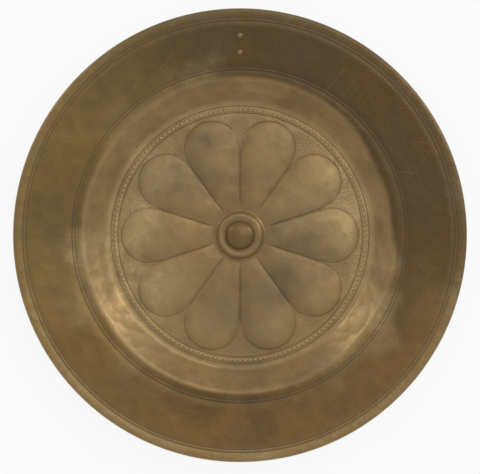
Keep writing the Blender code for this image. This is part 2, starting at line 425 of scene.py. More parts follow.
def lobe_relief(on_lobe, fall):
    """Height of the lobes, from 0 to 1."""
    swell = LOBE_START_SHARE + (1 - LOBE_START_SHARE) * on_lobe
    start = ((on_lobe / LOBE_INNER_ROUND).math("MINIMUM", 1.0) * (math.pi / 2)).math("SINE")
    past = (1.0 - (1.0 - on_lobe) / LOBE_OUTER_ROUND).math("MAXIMUM", 0.0)
    end = (1.0 - past * past).math("MAXIMUM", 0.0).math("SQRT")
    return fall**LOBE_FULLNESS * swell * start * end


print(LOBE_COUNT, "lobes reach out to", round(LOBE_TIP_RADIUS, 4))

# %% The tree of the raised dish
WAVER_SCALE = 22.0
DISH_SIZES = ("Lobe Height", "Bead Radius", "Tip Radius", "End Radius", "Ground Radius", "Waver", "Seed")


def paint_back(tree, geometry, finish):
    """Gives the faces of the rows that are marked as back their own metal."""
    behind = named_value(tree, "back").math("GREATER_THAN", 0.5)
    wanted = {"Geometry": geometry, "Selection": behind, "Material": finish}
    return field(tree, "GeometryNodeSetMaterial", wanted)


def make_dish_tree():
    """The tree of the dish: a turned profile, front and back, with the rosette's lobes."""
    inputs = {**GRID_INPUTS, "Back Finish": "Material", "Lobes": "Int", **dict.fromkeys(DISH_SIZES, "Float")}
    tree, given, leave = new_group("raised_dish", "GeometryNodeTree", inputs, GEOMETRY_OUT)
    grid, turn, radius, height, values = turned_grid(tree, given)
    inside = values["along"].math("GREATER_THAN", -0.5)
    on_lobe = values["along"].math("MINIMUM", 1.0).math("MAXIMUM", 0.0)
    beyond = (values["along"] - 1.0).math("MAXIMUM", 0.0)
    across = (turn * given["Lobes"] + 0.5).math("FRACT") * 2.0 - 1.0
    fall = (1.0 - across * across).math("MAXIMUM", 0.0)

    edge = given["Tip Radius"] - given["End Radius"] * (1.0 - fall.math("SQRT"))
    drawn = given["Bead Radius"] + (edge - given["Bead Radius"]) * on_lobe
    drawn = drawn + (given["Ground Radius"] - edge) * beyond
    radius = radius + (drawn - radius) * inside
    relief = lobe_relief(on_lobe, fall) * inside

    flat = turned_place(tree, turn, radius, 0.0)
    wanted = {"Vector": flat, "W": given["Seed"], "Scale": WAVER_SCALE, "Detail": 2.0}
    noise = field(tree, "ShaderNodeTexNoise", wanted, noise_dimensions="4D")
    uneven = (noise - 0.5) * given["Waver"] * values["waver"]
    place = turned_place(tree, turn, radius, height + given["Lobe Height"] * relief + uneven)

    ground = beyond.math("SIGN")
    valley = across.math("ABSOLUTE") * inside * (1.0 - ground)
    stored = {"dirt": values["dirt"], "back": values["back"]}
    kept = keep_values(tree, grid, relief=relief, valley=valley, ground=ground, **stored)
    front = realize_and_paint(tree, move_and_merge(tree, kept, place), given["Finish"])
    plug(tree, leave.inputs["Geometry"], paint_back(tree, front, given["Back Finish"]))
    return tree


dish_tree = make_dish_tree()
print("tree", dish_tree.name, "has", len(dish_tree.nodes), "nodes")

# %% [markdown]
# ## Old metal
#
# Brass that has been handled for centuries isn't one colour. Air browns it, hands rub the high places
# pale again, dirt stays in the grooves, and every cleaning leaves fine scratches. Each of these effects
# is a small shader group with its own inputs, and the group `old_brass` puts them together for every
# brass piece. A photograph of brass could be wrapped on instead, but it wouldn't know this plate's
# grooves. All patterns read Object coordinates: every finished piece sits at the origin, so they keep
# their place.

# %% Helpers for shaders


def object_place(tree):
    return tree.nodes.new("ShaderNodeTexCoord").outputs["Object"]


def mix_colour(tree, share, first, second):
    """A colour between two colours."""
    node = add_node(tree, "ShaderNodeMix", data_type="RGBA")
    for index, value in ((0, share), (6, first), (7, second)):
        plug(tree, node.inputs[index], value)
    return node.outputs[2]


def use_group(tree, group, inputs):
    """A node group placed in a tree."""
    node = tree.nodes.new("ShaderNodeGroup")
    node.node_tree = group
    for name, value in inputs.items():
        plug(tree, node.inputs[name], value)
    return {socket.name: Field(tree, socket) for socket in node.outputs}


print("helpers for shaders are ready")

# %% Shader group: blotches


def make_blotches():
    """Soft patches: noise between two limits."""
    inputs = dict.fromkeys(("Scale", "Low", "High", "Seed"), "Float")
    tree, given, leave = new_group("blotches", "ShaderNodeTree", inputs, {"Mask": "Float"})
    wanted = {"Vector": object_place(tree), "Scale": given["Scale"], "W": given["Seed"], "Detail": 6.0}
    noise = field(tree, "ShaderNodeTexNoise", wanted, noise_dimensions="4D")
    plug(tree, leave.inputs["Mask"], noise.ramp(given["Low"], given["High"]))
    return tree


def blotched(tree, scale, low, high, seed):
    """The mask of a blotches group in a tree."""
    return use_group(tree, blotches, {"Scale": scale, "Low": low, "High": high, "Seed": seed})["Mask"]


blotches = make_blotches()
print("group:", blotches.name)

# %% Shader group: scratches
SCRATCH_SETS = ((25, 0.0008, 0.05), (80, 0.0007, 0.04), (140, 0.0009, 0.06))
SCRATCH_LIMITS = (0.66, 0.78)


def make_scratches():
    """Fine straight scratches, in sets of (degrees, spacing, length): noise stretched along a direction."""
    tree, given, leave = new_group("scratches", "ShaderNodeTree", {"Seed": "Float"}, {"Mask": "Float"})
    masks = []
    for degrees, spacing, length in SCRATCH_SETS:
        turned = {
            "Vector": object_place(tree),
            "Rotation": (0.0, 0.0, math.radians(degrees)),
            "Scale": (spacing, length, length),
        }
        stretched = field(tree, "ShaderNodeMapping", turned, vector_type="TEXTURE")
        wanted = {"Vector": stretched, "W": given["Seed"] + degrees, "Scale": 1.0, "Detail": 1.0}
        noise = field(tree, "ShaderNodeTexNoise", wanted, noise_dimensions="4D")
        masks.append(noise.ramp(*SCRATCH_LIMITS))
    total = masks[0].math("MAXIMUM", masks[1]).math("MAXIMUM", masks[2])
    plug(tree, leave.inputs["Mask"], total)
    return tree


scratches = make_scratches()
print("group:", scratches.name, "in", len(SCRATCH_SETS), "directions")

# %% Shader group: hammer marks


def make_hammer_marks():
    """The shallow dimples that a planishing hammer leaves: bowls with soft ridges between them."""
    tree, given, leave = new_group("hammer_marks", "ShaderNodeTree", {"Size": "Float"}, {"Height": "Float"})
    wanted = {"Vector": object_place(tree), "Scale": given["Size"] ** -1.0, "Smoothness": 0.25}
    away = field(tree, "ShaderNodeTexVoronoi", wanted, feature="SMOOTH_F1")
    plug(tree, leave.inputs["Height"], away * away)
    return tree


hammer_marks = make_hammer_marks()
print("group:", hammer_marks.name)

# %% [markdown]
# ## The old brass group
#
# The group takes three colours, bare metal, patina and dirt, and two masks: how rubbed and how grimy a
# place is. It gives back a colour, how metallic a place is, a roughness and a height in metres for a Bump
# node. Patina is a thin crust of oxides, so it is only half metallic, and dirt isn't metal at all. Where
# dirt lies thick, damp turns some of the copper under it green. The Principled shader stays in each
# material, because a group should only hand over values.

# %% The old brass group
VERDIGRIS = (0.085, 0.088, 0.050, 1.0)
# The scale of each kind of blotch, and the limits of its noise.
LARGE = (16.0, 0.36, 0.64)
MEDIUM = (70.0, 0.42, 0.66)
SMALL = (240.0, 0.38, 0.70)
SPECKS = (800.0, 0.62, 0.70)
BRASS_INPUTS = {
    "Bare": "Color",
    "Patina": "Color",
    "Dirt": "Color",
    "Rub": "Float",
    "Grime": "Float",
    "Hammer Size": "Float",
    "Hammer Depth": "Float",
    "Seed": "Float",
}
BRASS_OUTPUTS = {"Color": "Color", "Metallic": "Float", "Roughness": "Float", "Height": "Float"}


def make_old_brass():
    tree, given, leave = new_group("old_brass", "ShaderNodeTree", BRASS_INPUTS, BRASS_OUTPUTS)
    seed = given["Seed"]
    large = blotched(tree, *LARGE, seed)
    medium = blotched(tree, *MEDIUM, seed + 2.0)
    small = blotched(tree, *SMALL, seed + 3.0)
    specks = blotched(tree, *SPECKS, seed + 7.0)
    lines = use_group(tree, scratches, {"Seed": seed})["Mask"]
    dents = use_group(tree, hammer_marks, {"Size": given["Hammer Size"]})["Height"]

    rub = given["Rub"] * (0.55 + 0.45 * large) * (0.7 + 0.3 * small)
    stain = large * 0.28 + medium * 0.16 + small * 0.06
    grime = (given["Grime"] + specks * (0.12 + 0.5 * medium)).math("MINIMUM", 1.0)
    green = given["Grime"].ramp(0.3, 0.9) * medium
    colour = mix_colour(tree, stain, given["Patina"], given["Dirt"])
    colour = mix_colour(tree, rub, colour, given["Bare"])
    colour = mix_colour(tree, lines * 0.18, colour, given["Bare"])
    colour = mix_colour(tree, grime * 0.85, colour, given["Dirt"])
    colour = mix_colour(tree, green * 0.6, colour, VERDIGRIS)
    plug(tree, leave.inputs["Color"], colour)

    metallic = (0.45 + rub * 0.4 + lines * 0.2 - grime * 0.4).math("MAXIMUM", 0.0)
    plug(tree, leave.inputs["Metallic"], metallic)
    roughness = 0.32 + large * 0.07 + medium * 0.05 + small * 0.05 + grime * 0.2 + lines * 0.06 - rub * 0.05
    plug(tree, leave.inputs["Roughness"], roughness)
    height = dents * given["Hammer Depth"] + small * 0.00003 - lines * 0.00001 - specks * 0.00004
    plug(tree, leave.inputs["Height"], height)
    return tree


old_brass = make_old_brass()
print("group", old_brass.name, "has", len(old_brass.nodes), "nodes")

# %% [markdown]
# ## The metals
#
# A material is then short: an `old_brass` group with its own values, a Bump node and a Principled shader.
# The colours are linear. They are written about as they look on the plate in plain light.

# %% Making a material
BARE_BRASS = (0.50, 0.36, 0.17, 1.0)
DIRT = (0.055, 0.036, 0.018, 1.0)
Hammer = namedtuple("Hammer", "size depth")


def new_material(name):
    """A material with its tree and its Principled shader."""
    material = bpy.data.materials.new(name)
    material.use_nodes = True
    return material, material.node_tree, material.node_tree.nodes["Principled BSDF"]


def dress(tree, shader, colour, metallic, roughness, height):
    """Feeds a shader what changes over the surface, the height through a Bump node."""
    bump = add_node(tree, "ShaderNodeBump", {"Height": height, "Distance": 1.0, "Strength": 1.0})
    plug(tree, shader.inputs["Base Color"], colour)
    plug(tree, shader.inputs["Metallic"], metallic)
    plug(tree, shader.inputs["Roughness"], roughness)
    plug(tree, shader.inputs["Normal"], bump.outputs[0])


def dress_brass(tree, shader, patina, rub, grime, hammer, seed, more_height=0.0):
    """Feeds a shader from an old brass group."""
    values = {"Bare": BARE_BRASS, "Patina": patina, "Dirt": DIRT, "Rub": rub, "Grime": grime}
    values |= {"Hammer Size": hammer.size, "Hammer Depth": hammer.depth, "Seed": seed}
    made = use_group(tree, old_brass, values)
    height = made["Height"] + more_height
    dress(tree, shader, made["Color"], made["Metallic"], made["Roughness"], height)


def read_value(tree, name):
    """A value that is stored on the piece's points."""
    return field(tree, "ShaderNodeAttribute", output="Fac", attribute_name=name)


print("bare brass is", BARE_BRASS[:3])

# %% Materials of the small pieces
BROWN_BRASS = (0.18, 0.112, 0.045, 1.0)
DARK_BRASS = (0.125, 0.078, 0.033, 1.0)
BOSS_BRASS = (0.195, 0.108, 0.032, 1.0)
IRON = (0.05, 0.043, 0.04, 1.0)
RUST = (0.10, 0.045, 0.02, 1.0)
RUST_BLOOM = (90.0, 0.45, 0.65)
RUST_PITS = (600.0, 0.4, 0.7)
FINE_HAMMER = Hammer(0.003, 0.00003)


def brass_material(name, patina, rub, hammer, seed):
    """Old brass for a small piece, with grime where the piece's points are marked dirty."""
    material, tree, shader = new_material(name)
    dress_brass(tree, shader, patina, rub, read_value(tree, "dirt"), hammer, seed)
    return material


def iron_material():
    """The wire in the rolled edge: dark oxide with a bloom of rust."""
    material, tree, shader = new_material("rusty_iron")
    rust = blotched(tree, *RUST_BLOOM, seed=21.0)
    pits = blotched(tree, *RUST_PITS, seed=22.0)
    colour = mix_colour(tree, rust * 0.8, IRON, RUST)
    dress(tree, shader, colour, 0.8 - rust * 0.7, 0.5 + rust * 0.3, pits * -0.00004)
    return material


boss_brass = brass_material("old_boss_brass", BOSS_BRASS, 0.12, Hammer(0.006, 0.00004), seed=11.0)
strap_brass = brass_material("old_strap_brass", BROWN_BRASS, 0.3, Hammer(0.004, 0.00006), seed=12.0)
ring_brass = brass_material("old_ring_brass", BROWN_BRASS, 0.5, FINE_HAMMER, seed=13.0)
rove_brass = brass_material("old_rove_brass", DARK_BRASS, 0.1, Hammer(0.004, 0.00008), seed=14.0)
rivet_brass = brass_material("old_rivet_brass", BROWN_BRASS, 0.35, Hammer(0.0016, 0.00010), seed=15.0)
wire_iron = iron_material()
small_metals = (boss_brass, strap_brass, ring_brass, rove_brass, rivet_brass, wire_iron)
print("materials:", [metal.name for metal in small_metals])

# %% [markdown]
# ## The dish's front
#
# The front needs more than one patina. The rim has browned, olive towards the upper left and warmer towards
# the lower right. It is darkest at the upper right, and there its dark colour also runs down the wall: this
# darkness is painted shade. Darker brown patches lie on the rim. Its edge is rubbed paler all round, and a
# painted highlight makes it paler still towards the bottom. The well is paler, because it was rubbed and
# polished, with a grey green tarnish right of the boss and a yellower place on the left. Other pale patches
# are rubbed wear on the lobes and the rim, and those on the wall, at its top and low on both sides, are
# painted highlight. The lobes' crowns are rubbed bare, and the valleys hold dirt. All this could be painted
# on an image by hand. Here each patch is a spot with a ragged edge on the plate's own X and Y, which needs
# no image and stays sharp close up.

# %% Places on the front
# The rim's colour darkens towards this direction: painted shade.
PAINTED_SHADE_ANGLE = math.radians(52)
# Painted shade on the wall: the rim's dark colour reaches down it towards this direction, and this far.
WALL_SHADE_ANGLE = math.radians(20)
WALL_SHADE_REACH = 0.007
SOFT_LIMITS = (0.3, 0.7)
CLOUD_SCALE = 7.0
RAGGED_SCALE = 30.0
RAGGED_SHARE = 0.7
CORE_SHARE = 0.25
RIM_BAND = (SHOULDER_RADIUS - 0.004, SHOULDER_RADIUS + 0.002)
WALL_BAND = (ROSETTE_RADIUS - 0.006, FLOOR_RADIUS + 0.008)
Patch = namedtuple("Patch", "x y reach strength")
TARNISHED = (
    Patch(0.057, -0.006, 0.036, 0.76),
    Patch(0.094, -0.016, 0.026, 0.35),
    Patch(0.034, -0.032, 0.040, 0.45),
    Patch(0.012, -0.064, 0.036, 0.30),
    Patch(-0.018, -0.072, 0.030, 0.40),
    Patch(-0.050, 0.056, 0.045, 0.56),
    Patch(-0.012, 0.088, 0.028, 0.60),
    Patch(0.042, 0.092, 0.026, 0.40),
    Patch(0.000, -0.135, 0.045, 0.20),
)
YELLOWED = (Patch(-0.062, -0.056, 0.048, 0.70),)
# Paler spots: rubbed wear on the lobes and the rim, and painted highlight on the wall, at its top and low on
# both sides.
RUBBED_AND_PAINTED_LIGHT = (
    Patch(-0.100, 0.010, 0.036, 0.60),
    Patch(-0.120, -0.024, 0.040, 0.52),
    Patch(-0.065, -0.038, 0.030, 0.20),
    Patch(-0.090, -0.058, 0.040, 0.35),
    Patch(-0.090, 0.060, 0.034, 0.30),
    Patch(-0.030, 0.128, 0.042, 0.30),
    Patch(0.056, 0.026, 0.034, 0.26),
    Patch(0.080, 0.066, 0.032, 0.20),
    Patch(-0.086, -0.096, 0.040, 0.40),
    Patch(0.084, -0.106, 0.040, 0.20),
    Patch(0.108, -0.094, 0.036, 0.36),
    Patch(0.112, -0.058, 0.036, 0.40),
    Patch(0.110, -0.020, 0.034, 0.32),
    Patch(0.104, 0.026, 0.044, 0.52),
    Patch(-0.150, -0.050, 0.060, 0.12),
    Patch(-0.134, -0.058, 0.034, 0.24),
    Patch(-0.095, 0.095, 0.038, 0.20),
    Patch(0.174, -0.062, 0.028, 0.20),
)
BROWNED = (
    Patch(0.148, 0.006, 0.046, 0.45),
    Patch(0.046, 0.166, 0.055, 0.75),
    Patch(-0.145, 0.040, 0.050, 0.30),
    Patch(-0.026, -0.138, 0.044, 0.62),
    Patch(0.018, -0.142, 0.042, 0.50),
    Patch(0.142, -0.074, 0.036, 0.26),
)

Front = namedtuple("Front", "x y radius on_rim on_wall clouds")


def spots(tree, front, patches, seed):
    """Soft ragged patches, each with its strength in its middle and nothing beyond its reach."""
    ragged = blotched(tree, RAGGED_SCALE, *SOFT_LIMITS, seed)
    total = 0.0
    for patch in patches:
        away = ((front.x - patch.x) ** 2.0 + (front.y - patch.y) ** 2.0) ** 0.5
        away = away + (ragged - 0.5) * (patch.reach * RAGGED_SHARE)
        mask = away.ramp(patch.reach, patch.reach * CORE_SHARE)
        total = mask * patch.strength + total
    return total


def towards(x, y, angle):
    """How far a place lies towards a direction."""
    return x * math.cos(angle) + y * math.sin(angle)


def places_on_front(tree):
    """Where a point of the front lies: its coordinates, and masks of the rim and the wall. The rim's mask
    reaches down the wall towards the upper right, as painted shade.
    """
    x, y, _ = split(tree, object_place(tree))
    radius = (x * x + y * y) ** 0.5
    clouds = blotched(tree, CLOUD_SCALE, *SOFT_LIMITS, seed=31.0)
    # Painted shade: the rim's colour runs down the wall towards the upper right.
    wall_shade = (towards(x, y, WALL_SHADE_ANGLE) / radius + (clouds - 0.5) * 0.2).ramp(0.8, 1.0) * WALL_SHADE_REACH
    on_rim = (radius + wall_shade).ramp(*RIM_BAND)
    on_wall = radius.ramp(*WALL_BAND)
    return Front(x, y, radius, on_rim, on_wall, clouds)


print("patches:", len(TARNISHED + YELLOWED), "of tarnish,", len(RUBBED_AND_PAINTED_LIGHT), "rubbed,", len(BROWNED), "browned")

# %% Patina and wear of the front
RIM_OLIVE = (0.220, 0.130, 0.029, 1.0)
RIM_WARM = (0.204, 0.105, 0.022, 1.0)
# Dark colour of the rim: painted shade towards the upper right, and the brown of the darker patches.
RIM_BROWN_AND_PAINTED_SHADE = (0.092, 0.049, 0.008, 1.0)
WELL_PALE = (0.318, 0.196, 0.073, 1.0)
WALL_PALE = (0.363, 0.228, 0.090, 1.0)
TARNISH = (0.198, 0.140, 0.066, 1.0)
YELLOW = (0.33, 0.215, 0.085, 1.0)
WELL_RUB = 0.05
RIM_RUB = 0.04
TIP_BAND = (0.055, 0.085)
SIDE_BAND = (0.050, 0.100)
EDGE_BAND = (PLATE_RADIUS - 0.018, PLATE_RADIUS - 0.002)
BORDER_START = (ROSETTE_RADIUS - 0.006, ROSETTE_RADIUS + 0.002)
BORDER_END = (FLOOR_RADIUS + 0.008, FLOOR_RADIUS - 0.001)
BEAD_BAND = (BEAD_RADIUS + 0.004, BEAD_RADIUS - 0.002)


def front_patina(tree, front, tarnish):
    """The colour that the air gave the metal, from the well to the rim, with painted shade on the rim
    towards the upper right.
    """
    warm = (front.x - front.y) / (2 * PLATE_RADIUS) + 0.25 + front.clouds * 0.5
    rim = mix_colour(tree, warm.ramp(0.0, 1.0), RIM_OLIVE, RIM_WARM)
    # Painted shade: the rim darkens towards the upper right.
    shade = towards(front.x, front.y, PAINTED_SHADE_ANGLE) / PLATE_RADIUS + (front.clouds - 0.5) * 0.3
    rim = mix_colour(tree, shade.ramp(0.0, 0.65) * 0.9, rim, RIM_BROWN_AND_PAINTED_SHADE)
    rim = mix_colour(tree, spots(tree, front, BROWNED, seed=36.0), rim, RIM_BROWN_AND_PAINTED_SHADE)
    well = mix_colour(tree, front.on_wall, WELL_PALE, WALL_PALE)
    well = mix_colour(tree, spots(tree, front, YELLOWED, seed=33.0), well, YELLOW)
    well = mix_colour(tree, tarnish, well, TARNISH)
    return mix_colour(tree, front.on_rim, well, rim)


def front_rub(tree, front, tarnish, ground):
    """Where hands and cloths have rubbed the metal bare, with painted highlight on the wall and on the lower
    edge.
    """
    crowns = read_value(tree, "relief").ramp(0.40, 0.90) * (1.0 - tarnish * 0.9)
    tips = crowns * front.radius.ramp(*TIP_BAND)
    sides = (front.x.math("ABSOLUTE") - front.x * 0.15).ramp(*SIDE_BAND)
    border = front.radius.ramp(*BORDER_START) * front.radius.ramp(*BORDER_END)
    bead = front.radius.ramp(*BEAD_BAND)
    in_well = WELL_RUB + crowns * 0.2 + tips * 0.15 + sides * 0.1
    in_well = in_well + ground * 0.15 + border * 0.1 + bead * 0.12
    # Painted highlight: the rubbed edge is paler still towards the bottom.
    lower_edge_highlight = front.y.ramp(0.0, -0.6 * PLATE_RADIUS)
    edge = front.radius.ramp(*EDGE_BAND) * (0.25 + lower_edge_highlight * 0.4)
    on_rim = front.on_rim * RIM_RUB + edge
    return (1.0 - front.on_rim) * in_well + on_rim + spots(tree, front, RUBBED_AND_PAINTED_LIGHT, seed=34.0)


print("the rim is", RIM_OLIVE[:3], "and the well", WELL_PALE[:3])

# %% Material of the front
FRONT_HAMMER = Hammer(0.011, 0.00040)
STIPPLE_SIZE = 0.0016
STIPPLE_DEPTH = 0.0003


def make_dish_front():
    material, tree, shader = new_material("old_dish_front")
    front = places_on_front(tree)
    ground = read_value(tree, "ground")
    tarnish = spots(tree, front, TARNISHED, seed=32.0)
    patina = front_patina(tree, front, tarnish)
    rub = front_rub(tree, front, tarnish, ground)
    grime = read_value(tree, "dirt") + read_value(tree, "valley").ramp(0.9, 1.0) * 0.2 + ground * 0.05
    stipple = use_group(tree, hammer_marks, {"Size": STIPPLE_SIZE})["Height"] * ground * STIPPLE_DEPTH
    grime = grime.math("MINIMUM", 1.0)
    dress_brass(tree, shader, patina, rub, grime, FRONT_HAMMER, seed=5.0, more_height=stipple)
    return material


dish_front = make_dish_front()
print("material", dish_front.name, "has", len(dish_front.node_tree.nodes), "nodes")

# %% [markdown]
# ## The dish's back
#
# Nobody polished the back. It is brown and shows the hammer plainly, and it is worn bright only on the
# flat ring that the plate rests on, which is the lowest part of the sheet. It is a second metal on the
# same mesh, because front and back are one sheet: the tree gives it to the rows that are marked as back.

# %% Material of the back
BACK_HAMMER = Hammer(0.010, 0.00080)
REST_WEAR = 0.0003


def make_dish_back():
    material, tree, shader = new_material("old_dish_back")
    worn = split(tree, object_place(tree))[2].ramp(REST_WEAR, 0.0)
    grime = read_value(tree, "dirt") + read_value(tree, "valley").ramp(0.5, 0.0) * 0.2
    rub = worn * 0.75 + 0.05
    dress_brass(tree, shader, DARK_BRASS, rub, grime, BACK_HAMMER, seed=6.0)
    return material


dish_back = make_dish_back()
print("material", dish_back.name, "has", len(dish_back.node_tree.nodes), "nodes")

# %% [markdown]
# ## The dish's profile
#
# The profile runs out over the front, round the rolled edge and back in along the underside, so the
# turned sheet is one closed surface with a real thickness. A Solidify modifier could thicken one surface,
# but the front has scored lines that the back doesn't have. Arcs that share a centre keep the sheet's
# thickness in the fillets. `lift` is the height of a side above the sheet's back: a sheet's thickness for
# the front, nothing for the back. Scored lines, the fine circles that a maker cuts with dividers, are
# single rows pressed into the surface.

# %% Rows of the floor
BEAD_HEIGHT = 0.0018
SHANK_RADIUS = 0.0025
SEAT_DIRT = 0.35
GROUND_STEPS = 6

rove_middle, rove_half = box_of("boss_rove")
SEAT_BACK = rove_middle.z + rove_half.z + CLEARANCE


def seat_height(along):
    """The sheet's back from the boss's seat at 0, over the bead around it, to the rosette's ground at 1."""
    fall = along * along * (3 - 2 * along)
    return SEAT_BACK + (GROUND_RISE - SEAT_BACK) * fall + BEAD_HEIGHT * math.sin(math.pi * along) ** 2


def floor_rows(lift, back, bead_steps, lobe_steps):
    """Rows of the floor from the boss's hole to the end of the rosette's ground."""
    rows = [Row(SHANK_RADIUS + CLEARANCE, SEAT_BACK + lift, back=back)]
    for along in spread(0.0, 1.0, bead_steps):
        dirt = SEAT_DIRT if along in (0.0, 1.0) else 0.0
        rows.append(Row(SEAT_RADIUS + BEAD_WIDTH * along, seat_height(along) + lift, dirt=dirt, back=back))
    for turn in spread(0.0, math.pi / 2, lobe_steps)[1:]:
        rows.append(Row(BEAD_RADIUS, GROUND_RISE + lift, math.sin(turn), waver=0.5, back=back))
    for beyond in spread(0.0, 1.0, GROUND_STEPS)[1:]:
        rows.append(Row(BEAD_RADIUS, GROUND_RISE * (1 - beyond) + lift, 1 + beyond, back=back))
    return rows


print("the rosette runs from", round(BEAD_RADIUS, 4), "to", round(ROSETTE_RADIUS, 4))

# %% Rows of the wall and the rolled edge
DOWN = -math.pi / 2
UP = math.pi / 2


def wall_rows(lift, back, steps):
    """Rows of the wall: foot fillet, slope and shoulder fillet."""
    foot = arc((FLOOR_RADIUS, FOOT_FILLET), FOOT_FILLET - lift, DOWN, DOWN + WALL_ANGLE, steps)
    centre = (
        SHOULDER_RADIUS + SHOULDER_FILLET * math.sin(RIM_SLOPE),
        WELL_DEPTH - SHOULDER_FILLET * math.cos(RIM_SLOPE),
    )
    shoulder = arc(centre, SHOULDER_FILLET + lift, UP + WALL_ANGLE, UP + RIM_SLOPE, steps)
    (low_r, low_z), (high_r, high_z) = foot[-1], shoulder[0]
    slope = [(low_r + (high_r - low_r) * t, low_z + (high_z - low_z) * t) for t in spread(0.0, 1.0, steps)]
    return [Row(r, z, waver=0.4, back=back) for r, z in foot + slope[1:-1] + shoulder]


def curl_rows(lift, back, steps):
    """Rows of the rolled edge, from the rim round to the edge of the sheet."""
    start = UP + RIM_SLOPE
    points = arc((WIRE_TURN_RADIUS, WIRE_Z), WIRE_SEAT + lift, start, start - CURL_WRAP, steps)
    return [Row(r, z, back=back) for r, z in points]


print("the edge is rolled through", round(math.degrees(CURL_WRAP)), "degrees")

# %% Rows of the rim
SCORE_WIDTH = 0.0011
SCORE_DEPTH = 0.00028
SCORE_DIRT = 0.9
FLOOR_SCORES = (ROSETTE_RADIUS + 0.0016, FLOOR_RADIUS - 0.0012)
SHOULDER_SCORES = (SHOULDER_RADIUS + 0.0050, SHOULDER_RADIUS + 0.0076)
EDGE_SCORES = (PLATE_RADIUS - 0.0112, PLATE_RADIUS - 0.0086)
PLAIN_RIM = (SHOULDER_RADIUS + 0.015, PLATE_RADIUS - 0.016)
FRONT_RIM_LIFT = SHEET / math.cos(RIM_SLOPE)


def rim_height(radius):
    """The sheet's back on the slope of the rim."""
    return WELL_DEPTH + (radius - SHOULDER_RADIUS) * math.tan(RIM_SLOPE)


def rim_top(radius):
    """The sheet's front on the slope of the rim."""
    return rim_height(radius) + FRONT_RIM_LIFT


def floor_top(radius):
    """The sheet's front on the flat ring around the rosette."""
    return SHEET


def scored(radii, height, waver=0.0):
    """Scored circles: for each a dirty row pressed in between two clean ones."""
    rows = []
    half = SCORE_WIDTH / 2
    for radius in radii:
        rows.append(Row(radius - half, height(radius - half), waver=waver))
        rows.append(Row(radius, height(radius) - SCORE_DEPTH, dirt=SCORE_DIRT, waver=waver))
        rows.append(Row(radius + half, height(radius + half), waver=waver))
    return rows


print("scored lines are", SCORE_WIDTH, "wide and", SCORE_DEPTH, "deep")

# %% Put the rows together
Steps = namedtuple("Steps", "bead lobe wall rim curl")
FRONT_STEPS = Steps(bead=12, lobe=60, wall=10, rim=7, curl=24)
BACK_STEPS = Steps(bead=8, lobe=24, wall=7, rim=3, curl=16)


def front_rows(steps):
    """Rows of the front, with its scored lines."""
    rows = floor_rows(SHEET, 0.0, steps.bead, steps.lobe)
    rows += scored(FLOOR_SCORES, floor_top)
    rows += wall_rows(SHEET, 0.0, steps.wall)
    rows += scored(SHOULDER_SCORES, rim_top, waver=0.4)
    rows += [Row(radius, rim_top(radius), waver=1.0) for radius in spread(*PLAIN_RIM, steps.rim)]
    rows += scored(EDGE_SCORES, rim_top, waver=0.3)
    return rows + curl_rows(SHEET, 0.0, steps.curl)


def back_rows(steps):
    """Rows of the back, which has no scored lines."""
    rows = floor_rows(0.0, 1.0, steps.bead, steps.lobe) + wall_rows(0.0, 1.0, steps.wall)
    for radius in spread(*PLAIN_RIM, steps.rim):
        rows.append(Row(radius, rim_height(radius), waver=1.0, back=1.0))
    return rows + curl_rows(0.0, 1.0, steps.curl)


def dish_rows():
    """Rows of the whole dish: front, back and round to the first row."""
    front = front_rows(FRONT_STEPS)
    return front + back_rows(BACK_STEPS)[::-1] + front[:1]


rows = dish_rows()
print("the dish has", len(rows), "rows")

# %% Make the dish
FACETS_PER_LOBE = 34
WAVER = 0.0007

dish = grow(
    "dish_sheet",
    dish_tree,
    rows,
    {
        "Facets": FACETS_PER_LOBE * LOBE_COUNT,
        "Finish": dish_front,
        "Back Finish": dish_back,
        "Lobes": LOBE_COUNT,
        "Lobe Height": LOBE_HEIGHT,
        "Bead Radius": BEAD_RADIUS,
        "Tip Radius": LOBE_TIP_RADIUS,
        "End Radius": LOBE_END_RADIUS,
        "Ground Radius": ROSETTE_RADIUS,
        "Waver": WAVER,
        "Seed": 4.0,
    },
)
join_plate(dish, "dish_brass", "dish")

# %% [markdown]
# ## The pearl border
#
# Around the rosette runs a row of pearls, struck into the flat ring with a hollow punch. Each one is the
# same small dome, so a tree sets instances on a circle. Hand-struck pearls differ a little: a random
# value with a fixed seed changes their size.

# %% The tree of the pearls
PEARL_SIZES = ("Ring Radius", "Pearl Radius", "Pearl Height", "Seat")
PEARL_INPUTS = {"Geometry": "Geometry", "Count": "Int", "Seed": "Int", "Finish": "Material"}
PEARL_INPUTS |= dict.fromkeys(PEARL_SIZES, "Float")
PEARL_LEAST = 0.88
PEARL_MOST = 1.04


def make_pearl_tree():
    tree, given, leave = new_group("pearl_border", "GeometryNodeTree", PEARL_INPUTS, GEOMETRY_OUT)
    ring = {"Vertices": given["Count"], "Radius": given["Ring Radius"]}
    circle = field(tree, "GeometryNodeMeshCircle", ring)
    lift = combine(tree, z=given["Seat"])
    raised = field(tree, "GeometryNodeSetPosition", {"Geometry": circle, "Offset": lift})
    ball = field(tree, "GeometryNodeMeshUVSphere", {"Segments": 8, "Rings": 6, "Radius": 1.0})
    chance = add_node(tree, "FunctionNodeRandomValue", {"Seed": given["Seed"]}, data_type="FLOAT")
    for index, value in ((2, PEARL_LEAST), (3, PEARL_MOST)):
        chance.inputs[index].default_value = value
    size = Field(tree, chance.outputs[1])
    width = given["Pearl Radius"] * size
    scale = combine(tree, width, width, given["Pearl Height"] * size)
    wanted = {"Points": raised, "Instance": ball, "Scale": scale}
    set_out = field(tree, "GeometryNodeInstanceOnPoints", wanted)
    plug(tree, leave.inputs["Geometry"], realize_and_paint(tree, set_out, given["Finish"]))
    return tree


pearl_tree = make_pearl_tree()
print("tree", pearl_tree.name, "has", len(pearl_tree.nodes), "nodes")

